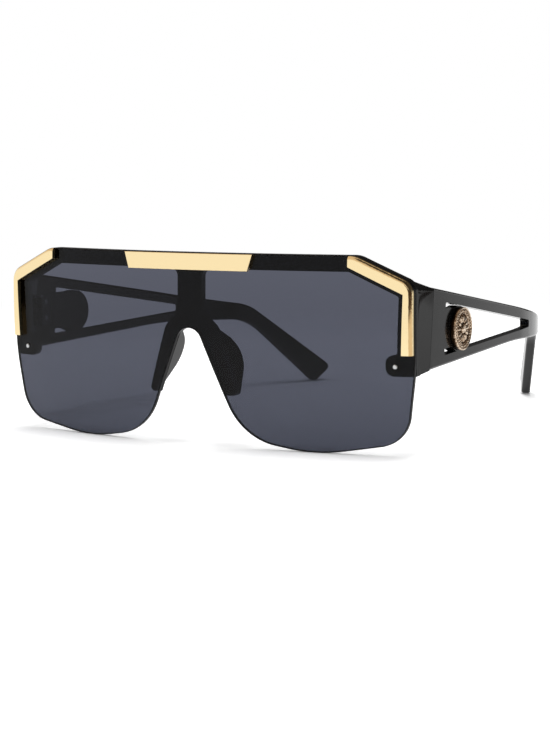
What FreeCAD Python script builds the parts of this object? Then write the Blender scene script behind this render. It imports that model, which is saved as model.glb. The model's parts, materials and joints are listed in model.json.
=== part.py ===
import FreeCAD, Part
import math
import os
from FreeCAD import Vector

# Oversized shield sunglasses: one smoked lens in front of a black moulded frame, with gold trims
# and two folding arms. Lengths are millimetres. Z is up from the table, and the wearer looks
# along -Y, so the wearer's left is +X. The left side's pieces are drawn, and the right's mirror them.

# Outline of the front, left half, seen from the front: its corners and the radii that round them.
# Drops are measured down from the top of the brow, and shares between the two corners beside.
front_height = 59.3
corner_half_width = 73.0
corner_run = 17.53
corner_drop = 8.0
corner_radius = 5.0
brow_bend_radius = 7.0
cheek_bulge = 0.2
cheek_height_share = 0.4651
cheek_radius = 60.0
lower_corner_inset = 2.9
lower_corner_height = 4.0
lower_corner_radius = 11.0
lens_low_place_share = 0.4563
lens_low_height = -0.75
lens_low_radius = 57.0
nose_corner_half_width = 17.5
nose_corner_height = 3.1
nose_corner_radius = 20.0
notch_drop = 16.0
notch_radius = 4.7

# Lens: part of a ball, with its foremost point at Y = 0
lens_radius = 315.0
lens_centre_drop = 20.8
lens_thickness = 1.5
lens_edge_round = 0.3
seat_gap = 0.04

# Frame behind the lens: brow bar, corner rims, centre post, nose arch and its legs.
# Heights of the legs are measured down from the peak of the notch, and widths out from its flank.
# The wall of the notch slants back from the lens's edge, so that only the pads show in it.
frame_thickness = 2.5
frame_edge_round = 0.5
brow_band_height = 4.9
brow_end_round = 2.0
rim_arm_border = 1.85
rim_leg_border = 2.5
inner_elbow_round = 0.8
post_half_width = 4.4
post_round = 2.5
post_foot_drop = 2.3
post_foot_round = 4.0
leg_shoulder_width = 6.2
leg_shoulder_drop = 6.7
leg_shoulder_round = 4.0
leg_end_width = 4.1
leg_end_drop = 27.4
leg_round = 1.2
notch_slant = 2.0

# Lugs of the frame, with the screws and nuts that hold the lens there
lug_drop = 35.4
lug_height = 6.3
lug_reach = 3.5
lug_round_share = 0.4
lug_fillet_share = 0.24
lug_outer_round = 0.4
lens_screw_inset = 5.6
lens_screw_rise = 3.05
lens_screw_radius = 0.45
lens_screw_head_radius = 0.68
lens_screw_head_height = 0.4
lens_nut_width = 2.6
lens_nut_height = 1.0

# Gold trims in front of the lens: two bent ones on the corners and a plate on the brow
trim_thickness = 1.3
corner_trim_thickness = 1.45
trim_end_overlap = 1.67
trim_end_height = 3.3
trim_elbow_inset = 2.55
trim_elbow_drop = 3.1
trim_foot_inset = 3.15
trim_foot_gap = 0.15
trim_bevel = 1.35
trim_edge_round = 0.2
brow_plate_half_width = 23.2
brow_plate_slant = 1.65
brow_plate_height = 5.1
brow_plate_top_drop = 0.1

# Studs on the back of the trims, and the screws that hold them from behind
stud_radius = 0.9
stud_short = 0.3
brow_stud_half_spacing = 14.0
arm_stud_place_share = 0.3725
foot_stud_rise = 5.65
foot_stud_depth = 1.6
trim_screw_radius = 0.5
trim_screw_length = 2.6
trim_screw_head_radius = 1.2
trim_screw_head_height = 0.6

# Nose pads, each a thin rounded wing on a leg that leans outwards as it goes back
pad_drop = 16.3
pad_top = 10.7
pad_bottom = 13.4
pad_peak = 0.7
pad_peak_reach = 11.4
pad_peak_radius = 8.3
pad_end_radius = 1.5
pad_root = 3.0
pad_thickness = 1.8
pad_edge_round = 0.6
pad_splay = 6.5
peg_radius = 0.6
peg_length = 1.5
peg_spacing = 8.0

# End pieces of the frame, from the rim to the hinge seam
end_piece_root = 3.4
end_piece_inset = 0.15
end_piece_depth = 0.2
end_piece_length = 5.03
end_piece_seam_round = 1.0

# Arms, drawn straight along Y and then turned inwards by their lean about the hinge.
# Places along an arm are shares of its length from the seam to the ear bend.
arm_step = 1.3
arm_thickness = 3.1
arm_lean = 2.96
arm_length = 143.4
arm_bend_share = 0.643
arm_bend_radius = 90.0
arm_bend_angle = 25.7
arm_foot_rise = 1.3
arm_top_drop = 1.9
arm_edge_round = 0.8
seam_lean = 3.5
seam_gap = 0.15
crest_place_share = 0.6226
crest_top_drop = 11.2
crest_height = 10.9
crest_radius = 200.0
ear_length = 32.1
ear_top_drop = 18.7
ear_height = 5.6
ear_top_radius = 16.0
ear_low_radius = 18.0
tip_top_height = 5.2
tip_top_radius = 1.8
tip_slant = 6.5
tip_low_height = -0.35
tip_low_radius = 1.5

# Window in each arm, and the round boss with its web that stands in its front end
window_front_gap = 10.9
window_front_lean = 1.2
window_front_top_drop = 5.0
window_front_low_rise = 3.4
window_front_round = 0.6
window_rear_share = 0.7305
window_rear_drop = 5.6
window_rear_end = 2.2
window_rear_round = 0.6
boss_gap = 21.8
boss_drop = 1.7
boss_border = 0.4
boss_web_below = 5.0
boss_web_above = 6.7

# Medallions on the bosses: a disc with a raised rim, a ring of petals and a domed heart
medallion_radius = 6.55
medallion_base = 1.0
medallion_rim_width = 0.8
medallion_rim_height = 0.7
medallion_rim_round = 0.3
medallion_stud_radius = 1.0
medallion_stud_length = 2.2
petal_start = 1.6
petal_start_radius = 0.4
petal_end = 4.7
petal_end_radius = 0.9
petal_count = 12
heart_radius = 2.2
heart_height = 1.2

# Hinges: three knuckles on the front leaf and two on the arm's leaf, round one screw
hinge_offset = 1.6
knuckle_radius = 1.35
knuckle_height = 1.8
knuckle_gap = 0.08
knuckle_count = 5
leaf_thickness = 0.9
leaf_start = 1.1
front_leaf_length = 4.6
arm_leaf_length = 7.6
leaf_clearance = 0.03
web_length = 2.2
web_inside = 0.4
hinge_screw_radius = 0.6
hinge_screw_fit = 0.04
hinge_screw_head_radius = 1.1
hinge_screw_head_height = 0.6
leaf_screw_radius = 0.45
leaf_screw_length = 2.0
leaf_screw_head_radius = 0.8
leaf_screw_head_height = 0.35
leaf_screw_spacing = 5.2
front_leaf_screw_place = 3.4
arm_leaf_screw_place = 4.8

# Clearance of screws and studs in their holes, one overrun for all cuts, and a matching tolerance
hole_clearance = 0.02
overrun = 1.0
match_tolerance = 0.01

# Directions
along_x = Vector(1, 0, 0)
along_y = Vector(0, 1, 0)
along_z = Vector(0, 0, 1)

# Places on the front that follow from the sizes above
corner_height = front_height - corner_drop
brow_half_length = corner_half_width - corner_run
brow_low_height = front_height - brow_band_height
brow_slope = corner_drop / corner_run
cheek_half_width = corner_half_width + cheek_bulge
cheek_height = lower_corner_height + cheek_height_share * (corner_height - lower_corner_height)
lower_corner_half_width = corner_half_width - lower_corner_inset
low_edge_length = lower_corner_half_width - nose_corner_half_width
lens_low_half_width = nose_corner_half_width + lens_low_place_share * low_edge_length
notch_peak_height = front_height - notch_drop
notch_rise = notch_peak_height - nose_corner_height
flank_length = math.hypot(nose_corner_half_width, notch_rise)
flank_up = Vector(-nose_corner_half_width / flank_length, 0, notch_rise / flank_length)
flank_out = Vector(flank_up.z, 0, -flank_up.x)
lug_bottom_height = front_height - lug_drop
lug_top_height = lug_bottom_height + lug_height
lens_screw_half_width = corner_half_width - lens_screw_inset
lens_screw_height = lug_bottom_height + lens_screw_rise
trim_end_half_width = brow_half_length - trim_end_overlap
trim_end_low_height = front_height - trim_end_height
trim_elbow_half_width = corner_half_width - trim_elbow_inset
trim_elbow_height = corner_height - trim_elbow_drop
trim_foot_half_width = corner_half_width - trim_foot_inset
trim_foot_height = lug_top_height + trim_foot_gap
trim_slope = (trim_end_low_height - trim_elbow_height) / (trim_elbow_half_width - trim_end_half_width)

# Balls about the lens's centre that the pieces of the front lie between
ball_centre = Vector(0, lens_radius, front_height - lens_centre_drop)
trim_back = lens_radius + seat_gap
trim_front = trim_back + trim_thickness
corner_trim_front = trim_back + corner_trim_thickness
lens_back = lens_radius - lens_thickness
frame_front = lens_back - seat_gap
frame_back = frame_front - frame_thickness

# Places on the arms and hinges that follow from the sizes above
corner_reach = math.hypot(corner_half_width, corner_height - ball_centre.z)
end_piece_start = lens_radius - math.sqrt(frame_front ** 2 - corner_reach ** 2) + end_piece_depth
seam_foot = end_piece_start + end_piece_length
arm_outer = corner_half_width + arm_step
arm_inner = arm_outer - arm_thickness
arm_foot_height = lug_bottom_height + arm_foot_rise
arm_top_height = corner_height - arm_top_drop
seam_slope = seam_lean / (arm_top_height - arm_foot_height)
straight_length = arm_length - ear_length
ear_bend_length = seam_foot + straight_length
ear_bend_top = arm_top_height - ear_top_drop
ear_bend_low = ear_bend_top - ear_height
crest_length = seam_foot + crest_place_share * straight_length
crest_top = arm_top_height - crest_top_drop
crest_low = crest_top - crest_height
arm_bend_start = seam_foot + arm_bend_share * straight_length
tip_top_length = seam_foot + arm_length
tip_low_length = tip_top_length - tip_slant
window_front = seam_foot + window_front_gap
window_front_top = arm_top_height - window_front_top_drop
window_front_low = arm_foot_height + window_front_low_rise
window_rear = seam_foot + window_rear_share * straight_length
window_rear_top = crest_top - window_rear_drop
hinge_height = (arm_foot_height + arm_top_height) / 2
hinge_length = seam_foot + seam_slope * (hinge_height - arm_foot_height)
hinge_place = Vector(arm_inner - hinge_offset, hinge_length, hinge_height)
boss_length = seam_foot + boss_gap
boss_height = hinge_height - boss_drop
boss_radius = medallion_radius + boss_border
knuckle_step = knuckle_height + knuckle_gap
barrel_height = knuckle_count * knuckle_step - knuckle_gap


def front_plane(x, z):
    return Vector(x, 0, z)


def side_plane(y, z):
    return Vector(0, y, z)


def round_corner(before, corner, after, radius):
    """Start, middle and end of the arc that rounds a corner."""
    to_before = before - corner
    to_after = after - corner
    half = to_before.getAngle(to_after) / 2
    to_before.normalize()
    to_after.normalize()
    inwards = to_before + to_after
    inwards.normalize()
    reach = radius / math.tan(half)
    depth = radius / math.sin(half) - radius
    return corner + to_before * reach, corner + inwards * depth, corner + to_after * reach


def rounded_wire(corners, plane):
    """Closed wire through corners of two coordinates and the radius that rounds them."""
    points = [plane(first, second) for first, second, radius in corners]
    count = len(points)
    edges = []
    ends = []
    for i in range(count):
        radius = corners[i][2]
        if radius == 0:
            ends.append((points[i], points[i]))
        else:
            arc = round_corner(points[i - 1], points[i], points[(i + 1) % count], radius)
            edges.append(Part.Arc(*arc).toShape())
            ends.append((arc[0], arc[2]))
    for i in range(count):
        edges.append(Part.LineSegment(ends[i - 1][1], ends[i][0]).toShape())
    return Part.Wire(Part.__sortEdges__(edges))


def slab(corners, plane, first, last, along):
    """A rounded outline, extruded from one place to another along a direction."""
    face = Part.Face(rounded_wire(corners, plane))
    face.translate(along * first)
    return face.extrude(along * (last - first))


def rod(radius, start, along, length):
    return Part.makeCylinder(radius, length, start, along)


def box(low, high):
    size = high - low
    return Part.makeBox(size.x, size.y, size.z, low)


def mirrored_corners(corners):
    """The left half's corners, followed by the right half's."""
    right = [(-x, z, radius) for x, z, radius in reversed(corners) if x > 0]
    return corners + right


def mirror(shape):
    return shape.mirror(Vector(), along_x)


def ball(radius):
    return Part.makeSphere(radius, ball_centre)


def ball_depth(x, z, radius):
    """How far back the front of a ball about the lens's centre lies, at a place seen from the front."""
    return lens_radius - math.sqrt(radius ** 2 - x ** 2 - (z - ball_centre.z) ** 2)


def ball_pin(x, z, radius, outer, inner):
    """A rod square to the lens, at a place seen from the front, from one ball to a smaller one."""
    inwards = ball_centre - Vector(x, ball_depth(x, z, lens_radius), z)
    inwards.normalize()
    return rod(radius, ball_centre - inwards * outer, inwards, outer - inner)


def curved_plate(corners, outer, inner):
    """A plate with the given outline, seen from the front, between two balls about the lens's centre."""
    deepest = ball_depth(cheek_half_width, lens_low_height, inner) + overrun
    block = slab(corners, front_plane, -(outer - lens_back) - overrun, deepest, along_y)
    return block.common(ball(outer)).cut(ball(inner))


def edges_on_ball(shape, radius):
    """The edges of a shape that lie on a ball about the lens's centre."""
    found = []
    for edge in shape.Edges:
        middle = edge.valueAt((edge.FirstParameter + edge.LastParameter) / 2)
        points = [vertex.Point for vertex in edge.Vertexes] + [middle]
        if all(abs(point.distanceToPoint(ball_centre) - radius) < match_tolerance for point in points):
            found.append(edge)
    return found


def edges_along(edges, outline, reach):
    """Those of the edges whose middle, seen from the front, is no further from an outline than a reach."""
    found = []
    for edge in edges:
        middle = edge.valueAt((edge.FirstParameter + edge.LastParameter) / 2)
        if outline.distToShape(Part.Vertex(front_plane(middle.x, middle.z)))[0] < reach + match_tolerance:
            found.append(edge)
    return found


def lean(shape):
    """A piece of the left arm, drawn straight, turned to its place about the hinge."""
    turned = shape.copy()
    turned.rotate(hinge_place, along_z, arm_lean)
    return turned


def brow_corners():
    return [
        (brow_half_length, front_height, brow_bend_radius),
        (corner_half_width, corner_height, corner_radius),
    ]


def lens_corners():
    return brow_corners() + [
        (cheek_half_width, cheek_height, cheek_radius),
        (lower_corner_half_width, lower_corner_height, lower_corner_radius),
        (lens_low_half_width, lens_low_height, lens_low_radius),
        (nose_corner_half_width, nose_corner_height, nose_corner_radius),
        (0, notch_peak_height, notch_radius),
    ]


def make_lens():
    plate = curved_plate(mirrored_corners(lens_corners()), lens_radius, lens_back)
    edges = edges_on_ball(plate, lens_radius) + edges_on_ball(plate, lens_back)
    return plate.makeFillet(lens_edge_round, edges)


def brow_studs():
    """Places of the studs on the brow plate, seen from the front."""
    height = front_height - brow_plate_top_drop - brow_plate_height / 2
    return [(side * brow_stud_half_spacing, height) for side in (1, -1)]


def arm_stud():
    """Place of the stud on a corner trim's sloping arm, midway between its edges."""
    place = brow_half_length + arm_stud_place_share * corner_run
    outer = front_height - (place - brow_half_length) * brow_slope
    inner = trim_end_low_height - (place - trim_end_half_width) * trim_slope
    return place, (outer + inner) / 2


def foot_stud():
    """Place of the stud on a corner trim's upright leg, midway between its edges."""
    rise = foot_stud_rise / (trim_elbow_height - trim_foot_height)
    inner = trim_foot_half_width + (trim_elbow_half_width - trim_foot_half_width) * rise
    return (inner + corner_half_width) / 2, trim_foot_height + foot_stud_rise


def flank_place(drop):
    """How far from the middle the notch's flank is, at a drop below the notch's peak."""
    return drop * nose_corner_half_width / notch_rise


def leg_corners():
    """Corners of a nose leg, which follows the notch's flank."""
    shoulder = flank_place(leg_shoulder_drop)
    end = flank_place(leg_end_drop)
    return [
        (post_half_width, notch_peak_height - post_foot_drop, post_foot_round),
        (shoulder + leg_shoulder_width, notch_peak_height - leg_shoulder_drop, leg_shoulder_round),
        (end + leg_end_width, notch_peak_height - leg_end_drop, leg_round),
        (end, notch_peak_height - leg_end_drop, 0),
    ]


def rim_elbow():
    """Inner corner of the rim: the trim's elbow moved inwards by the borders that show."""
    leg = Vector(trim_foot_half_width - trim_elbow_half_width, 0, trim_foot_height - trim_elbow_height)
    arm = Vector(trim_elbow_half_width - trim_end_half_width, 0, trim_elbow_height - trim_end_low_height)
    leg.normalize()
    arm.normalize()
    leg_side = Vector(leg.z, 0, -leg.x)
    arm_side = Vector(arm.z, 0, -arm.x)
    turn = leg_side.dot(arm_side)
    shift = leg_side * (rim_leg_border - rim_arm_border * turn)
    shift = (shift + arm_side * (rim_arm_border - rim_leg_border * turn)) * (1 / (1 - turn ** 2))
    return trim_elbow_half_width + shift.x, trim_elbow_height + shift.z


def notch_corners():
    """Corners of the notch in the frame, which is as wide as the lens's."""
    return [
        (nose_corner_half_width, nose_corner_height, 0),
        (0, notch_peak_height, notch_radius),
        (-nose_corner_half_width, nose_corner_height, 0),
    ]


def make_frame_front():
    elbow_x, elbow_z = rim_elbow()
    brow_end = elbow_x - (brow_low_height - elbow_z) / trim_slope
    rim_inner = trim_foot_half_width - rim_leg_border
    lug_inner = rim_inner - lug_reach
    lug_round = lug_round_share * lug_height
    corners = brow_corners() + [
        (corner_half_width, lug_bottom_height, lug_outer_round),
        (lug_inner, lug_bottom_height, lug_round),
        (lug_inner, lug_top_height, lug_round),
        (rim_inner, lug_top_height, lug_fillet_share * lug_reach),
        (elbow_x, elbow_z, inner_elbow_round),
        (brow_end, brow_low_height, brow_end_round),
        (post_half_width, brow_low_height, post_round),
    ] + leg_corners() + [(0, notch_peak_height, notch_radius)]
    plate = curved_plate(mirrored_corners(corners), frame_front, frame_back)
    notch = rounded_wire(notch_corners(), front_plane)
    plate = plate.makeChamfer(notch_slant, edges_along(edges_on_ball(plate, frame_back), notch, 0))
    edges = edges_on_ball(plate, frame_back)
    slanted = [edge.hashCode() for edge in edges_along(edges, notch, notch_slant)]
    return plate.makeFillet(frame_edge_round, [edge for edge in edges if edge.hashCode() not in slanted])


def end_piece_section(points, radius):
    """Cross-section of an end piece, with its upper outer corner rounded."""
    low_inner, low_outer, top_outer, top_inner = points
    start, middle, stop = round_corner(low_outer, top_outer, top_inner, radius)
    edges = [
        Part.LineSegment(low_inner, low_outer).toShape(),
        Part.LineSegment(low_outer, start).toShape(),
        Part.Arc(start, middle, stop).toShape(),
        Part.LineSegment(stop, top_inner).toShape(),
        Part.LineSegment(top_inner, low_inner).toShape(),
    ]
    return Part.Wire(edges)


def make_end_piece():
    root = end_piece_start
    root_inner = corner_half_width - end_piece_root
    root_outer = corner_half_width - end_piece_inset
    root_low = lug_bottom_height + end_piece_inset
    root_top = corner_height - end_piece_inset * math.hypot(1, brow_slope)
    front = [
        Vector(root_inner, root, root_low),
        Vector(root_outer, root, root_low),
        Vector(root_outer, root, root_top + end_piece_inset * brow_slope),
        Vector(root_inner, root, root_top + end_piece_root * brow_slope),
    ]
    seam_low = seam_foot - seam_gap
    seam_top = seam_low + seam_lean
    rear = [
        Vector(arm_inner, seam_low, arm_foot_height),
        Vector(arm_outer, seam_low, arm_foot_height),
        Vector(arm_outer, seam_top, arm_top_height),
        Vector(arm_inner, seam_top, arm_top_height),
    ]
    front_wire = end_piece_section(front, corner_radius - end_piece_inset)
    rear_wire = lean(end_piece_section(rear, end_piece_seam_round))
    return Part.makeLoft([front_wire, rear_wire], True, True)


def make_corner_trim():
    corners = [(trim_end_half_width, front_height, 0)] + brow_corners() + [
        (corner_half_width, trim_foot_height, 0),
        (trim_foot_half_width, trim_foot_height, 0),
        (trim_elbow_half_width, trim_elbow_height, 0),
        (trim_end_half_width, trim_end_low_height, 0),
    ]
    plate = curved_plate(corners, corner_trim_front, trim_back)
    border = [(0, front_height, 0)] + brow_corners() + [(corner_half_width, 0, 0), (0, 0, 0)]
    outline = rounded_wire(border, front_plane)
    outer = edges_along(edges_on_ball(plate, corner_trim_front), outline, 0)
    plate = plate.makeFillet(trim_bevel, outer)
    arm_x, arm_z = arm_stud()
    foot_x, foot_z = foot_stud()
    middle_ball = trim_back + trim_thickness / 2
    arm_pin = ball_pin(arm_x, arm_z, stud_radius, middle_ball, frame_back + stud_short)
    foot_pin = ball_pin(foot_x, foot_z, stud_radius, middle_ball, frame_front - foot_stud_depth)
    tapped = ball_pin(arm_x, arm_z, trim_screw_radius + hole_clearance, lens_radius, frame_back - overrun)
    return plate.fuse([arm_pin, foot_pin]).cut(tapped)


def make_brow_trim():
    top = front_height - brow_plate_top_drop
    low = top - brow_plate_height
    low_half_width = brow_plate_half_width - brow_plate_slant
    corners = [
        (brow_plate_half_width, top, 0),
        (low_half_width, low, 0),
        (-low_half_width, low, 0),
        (-brow_plate_half_width, top, 0),
    ]
    plate = curved_plate(corners, trim_front, trim_back)
    plate = plate.makeFillet(trim_edge_round, edges_on_ball(plate, trim_front))
    for x, z in brow_studs():
        middle_ball = trim_back + trim_thickness / 2
        plate = plate.fuse(ball_pin(x, z, stud_radius, middle_ball, frame_back + stud_short))
        tapped = ball_pin(x, z, trim_screw_radius + hole_clearance, lens_radius, frame_back - overrun)
        plate = plate.cut(tapped)
    return plate


def make_trim_screw(x, z):
    seat = frame_back - seat_gap
    head = ball_pin(x, z, trim_screw_head_radius, seat, seat - trim_screw_head_height)
    shank = ball_pin(x, z, trim_screw_radius, seat + trim_screw_length, seat - trim_screw_head_height / 2)
    return head.fuse(shank).removeSplitter()


def make_lens_screw():
    x, z = lens_screw_half_width, lens_screw_height
    seat = lens_radius + seat_gap
    head = ball_pin(x, z, lens_screw_head_radius, seat + lens_screw_head_height, seat)
    head = head.makeFillet(lens_screw_head_height / 2, edges_on_ball(head, seat + lens_screw_head_height))
    tail = frame_back - seat_gap - lens_nut_height
    shank = ball_pin(x, z, lens_screw_radius, seat + lens_screw_head_height / 2, tail)
    return head.fuse(shank).removeSplitter()


def make_lens_nut():
    x, z = lens_screw_half_width, lens_screw_height
    inwards = ball_centre - Vector(x, ball_depth(x, z, lens_radius), z)
    inwards.normalize()
    seat = ball_centre - inwards * (frame_back - seat_gap)
    turns = [math.radians(360 * i / 6) for i in range(7)]
    reach = lens_nut_width / math.sqrt(3)
    hexagon = [Vector(math.cos(turn), math.sin(turn), 0) * reach for turn in turns]
    nut = Part.Face(Part.makePolygon(hexagon)).extrude(along_z * lens_nut_height)
    nut.Placement = FreeCAD.Placement(seat, FreeCAD.Rotation(along_z, inwards))
    return nut.cut(lens_screw_hole())


def pad_frame():
    """Root of a nose pad on its leg's inner edge, with its ways along the flank, back and outwards."""
    x = flank_place(pad_drop) + notch_slant / flank_up.z
    z = notch_peak_height - pad_drop
    root = Vector(x, ball_depth(x, z, frame_back), z)
    splay = math.radians(pad_splay)
    back = along_y * math.cos(splay) + flank_out * math.sin(splay)
    outwards = flank_out * math.cos(splay) - along_y * math.sin(splay)
    return root, back, outwards


def pad_pegs(clearance):
    """The pegs that hold a pad in its leg, grown by a clearance to make their holes."""
    root, back, outwards = pad_frame()
    pegs = []
    for side in (1, -1):
        middle = root + flank_up * (side * peg_spacing / 2) + outwards * (pad_thickness / 2)
        leg_back = ball_depth(middle.x, middle.z, frame_back)
        middle = middle + back * ((leg_back - middle.y) / back.y)
        start = middle - along_y * (peg_length + clearance)
        pegs.append(rod(peg_radius + clearance, start, along_y, peg_length + peg_radius))
    return pegs


def make_nose_pad():
    root, back, outwards = pad_frame()
    corners = [
        (pad_top, -pad_root, 0),
        (pad_top, 0, pad_end_radius),
        (pad_peak, pad_peak_reach, pad_peak_radius),
        (-pad_bottom, 0, pad_end_radius),
        (-pad_bottom, -pad_root, 0),
    ]
    face = Part.Face(rounded_wire(corners, lambda up, away: root + flank_up * up + back * away))
    wing = face.extrude(outwards * pad_thickness)
    wing = wing.makeFillet(pad_edge_round, wing.Edges)
    return wing.common(ball(frame_back - seat_gap)).fuse(pad_pegs(0))


def leaf_plate(way, length, clearance, depth):
    """Plate of a hinge leaf, to the front or to the back of the hinge, as deep inwards as asked."""
    half = barrel_height / 2 + clearance
    near = way * (leaf_start - clearance)
    far = way * (length + clearance)
    low = Vector(hinge_offset - depth, min(near, far), -half)
    high = Vector(hinge_offset + leaf_thickness + clearance, max(near, far), half)
    plate = box(low, high)
    plate.translate(hinge_place)
    return plate


def leaf_screws(way, place, radius, start, stop):
    """Rods square to a hinge leaf, at its two screws."""
    rods = []
    for side in (1, -1):
        foot = hinge_place + Vector(hinge_offset + start, way * place, side * leaf_screw_spacing / 2)
        rods.append(rod(radius, foot, along_x, stop - start))
    return rods


def make_leaf(way, length, place, first_knuckle):
    leaf = leaf_plate(way, length, 0, 0)
    for i in range(first_knuckle, knuckle_count, 2):
        low = i * knuckle_step - barrel_height / 2
        high = low + knuckle_height
        barrel = rod(knuckle_radius, hinge_place + along_z * low, along_z, knuckle_height)
        web_ends = sorted([0, way * web_length])
        link_ends = sorted([way * leaf_start, way * web_length])
        web = box(Vector(-web_inside, web_ends[0], low),
                  Vector(hinge_offset - leaf_clearance, web_ends[1], high))
        link = box(Vector(-web_inside, link_ends[0], low),
                   Vector(hinge_offset + leaf_thickness / 2, link_ends[1], high))
        web.translate(hinge_place)
        link.translate(hinge_place)
        leaf = leaf.fuse([barrel, web, link])
    bore = rod(hinge_screw_radius + hinge_screw_fit, hinge_place - along_z * barrel_height, along_z,
               barrel_height + barrel_height)
    holes = leaf_screws(way, place, leaf_screw_radius + hole_clearance, -overrun, leaf_thickness + overrun)
    return leaf.removeSplitter().cut([bore] + holes)


def make_leaf_screws(way, place):
    heads = leaf_screws(way, place, leaf_screw_head_radius, -leaf_screw_head_height, 0)
    shanks = leaf_screws(way, place, leaf_screw_radius, -leaf_screw_head_height / 2, leaf_screw_length)
    return Part.makeCompound([head.fuse(shank).removeSplitter() for head, shank in zip(heads, shanks)])


def make_hinge_screw():
    top = hinge_place + along_z * (barrel_height / 2)
    shank = rod(hinge_screw_radius, top - along_z * barrel_height, along_z, barrel_height)
    head = rod(hinge_screw_head_radius, top + along_z * seat_gap, along_z, hinge_screw_head_height)
    neck = rod(hinge_screw_radius, top, along_z, hinge_screw_head_height)
    return head.fuse([shank, neck]).removeSplitter()


def hinge_pocket():
    """Room in an end piece for the front leaf, its webs and its screws."""
    half = barrel_height / 2 + leaf_clearance
    leaf = leaf_plate(-1, front_leaf_length, leaf_clearance, hinge_offset)
    webs = box(Vector(0, -leaf_start, -half), Vector(hinge_offset, overrun, half))
    webs.translate(hinge_place)
    screws = leaf_screws(-1, front_leaf_screw_place, leaf_screw_radius + hole_clearance,
                         -overrun, leaf_screw_length + hole_clearance)
    return [leaf, webs] + screws


def make_frame():
    end_piece = make_end_piece().cut(hinge_pocket())
    frame = make_frame_front().fuse([end_piece, mirror(end_piece)])
    holes = pad_pegs(hole_clearance) + corner_stud_holes()
    holes.append(lens_screw_hole())
    for hole in holes:
        frame = frame.cut([hole, mirror(hole)])
    return frame.cut(brow_stud_holes())


def lens_screw_hole():
    return ball_pin(lens_screw_half_width, lens_screw_height, lens_screw_radius + hole_clearance,
                    trim_front, frame_back - lens_nut_height - overrun)


def corner_stud_holes():
    arm_x, arm_z = arm_stud()
    foot_x, foot_z = foot_stud()
    radius = stud_radius + hole_clearance
    return [
        ball_pin(arm_x, arm_z, radius, trim_front, frame_back - overrun),
        ball_pin(foot_x, foot_z, radius, trim_front, frame_front - foot_stud_depth - hole_clearance),
    ]


def brow_stud_holes():
    radius = stud_radius + hole_clearance
    return [ball_pin(x, z, radius, trim_front, frame_back - overrun) for x, z in brow_studs()]


def drill_lens(lens):
    lens = lens.cut(brow_stud_holes())
    for hole in corner_stud_holes() + [lens_screw_hole()]:
        lens = lens.cut([hole, mirror(hole)])
    return lens


def arm_plan():
    """The arm seen from above: straight from the seam, bent inwards on an arc, then straight to its tip."""
    centre = Vector(arm_outer - arm_bend_radius, arm_bend_start, tip_low_height - overrun)
    inner_radius = arm_bend_radius - arm_thickness
    bend = math.radians(arm_bend_angle)
    start = centre - along_y * (arm_bend_start - seam_foot + overrun)
    tail = Vector(-math.sin(bend), math.cos(bend), 0)
    tail = tail * ((tip_top_length + arm_thickness + overrun - arm_bend_start) / math.cos(bend))

    def on_arc(radius, turn):
        return centre + Vector(math.cos(turn), math.sin(turn), 0) * radius

    def side(radius):
        arc = Part.Arc(on_arc(radius, 0), on_arc(radius, bend / 2), on_arc(radius, bend))
        return [
            Part.LineSegment(start + along_x * radius, on_arc(radius, 0)).toShape(),
            arc.toShape(),
            Part.LineSegment(on_arc(radius, bend), on_arc(radius, bend) + tail).toShape(),
        ]

    ends = [
        Part.LineSegment(start + along_x * inner_radius, start + along_x * arm_bend_radius).toShape(),
        Part.LineSegment(on_arc(inner_radius, bend) + tail, on_arc(arm_bend_radius, bend) + tail).toShape(),
    ]
    face = Part.Face(Part.Wire(Part.__sortEdges__(side(inner_radius) + side(arm_bend_radius) + ends)))
    return face.extrude(along_z * (arm_top_height - tip_low_height + overrun + overrun))


def arm_side():
    """The arm seen from the side."""
    corners = [
        (seam_foot + seam_lean, arm_top_height, 0),
        (crest_length, crest_top, crest_radius),
        (ear_bend_length, ear_bend_top, ear_top_radius),
        (tip_top_length, tip_top_height, tip_top_radius),
        (tip_low_length, tip_low_height, tip_low_radius),
        (ear_bend_length, ear_bend_low, ear_low_radius),
        (crest_length, crest_low, crest_radius),
        (seam_foot, arm_foot_height, 0),
    ]
    return slab(corners, side_plane, 0, arm_outer + overrun, along_x)


def arm_window():
    corners = [
        (window_front + window_front_lean, window_front_top, window_front_round),
        (window_rear, window_rear_top, window_rear_round),
        (window_rear, window_rear_top - window_rear_end, window_rear_round),
        (window_front, window_front_low, window_front_round),
    ]
    return slab(corners, side_plane, 0, arm_outer + overrun, along_x)


def make_arm():
    arm = arm_side().common(arm_plan())
    long_edges = []
    for edge in arm.Edges:
        middle = edge.valueAt((edge.FirstParameter + edge.LastParameter) / 2)
        across = abs(edge.tangentAt(edge.FirstParameter).x) > 1 - match_tolerance
        on_seam = middle.y < seam_foot + seam_lean + match_tolerance
        if not across and not on_seam:
            long_edges.append(edge)
    arm = arm.makeFillet(arm_edge_round, long_edges)
    arm = arm.cut(arm_window())
    boss = rod(boss_radius, Vector(arm_inner, boss_length, boss_height), along_x, arm_thickness)
    web = box(Vector(arm_inner, window_front - overrun, boss_height - boss_web_below),
              Vector(arm_outer, boss_length, boss_height + boss_web_above))
    arm = arm.fuse([boss, web]).removeSplitter()
    pocket = leaf_plate(1, arm_leaf_length, leaf_clearance, hinge_offset)
    screw_holes = leaf_screws(1, arm_leaf_screw_place, leaf_screw_radius + hole_clearance,
                              -overrun, leaf_screw_length + hole_clearance)
    stud_hole = rod(medallion_stud_radius + hole_clearance,
                    Vector(arm_outer - medallion_stud_length - hole_clearance, boss_length, boss_height),
                    along_x, medallion_stud_length + overrun)
    return arm.cut([pocket, stud_hole] + screw_holes)


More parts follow.
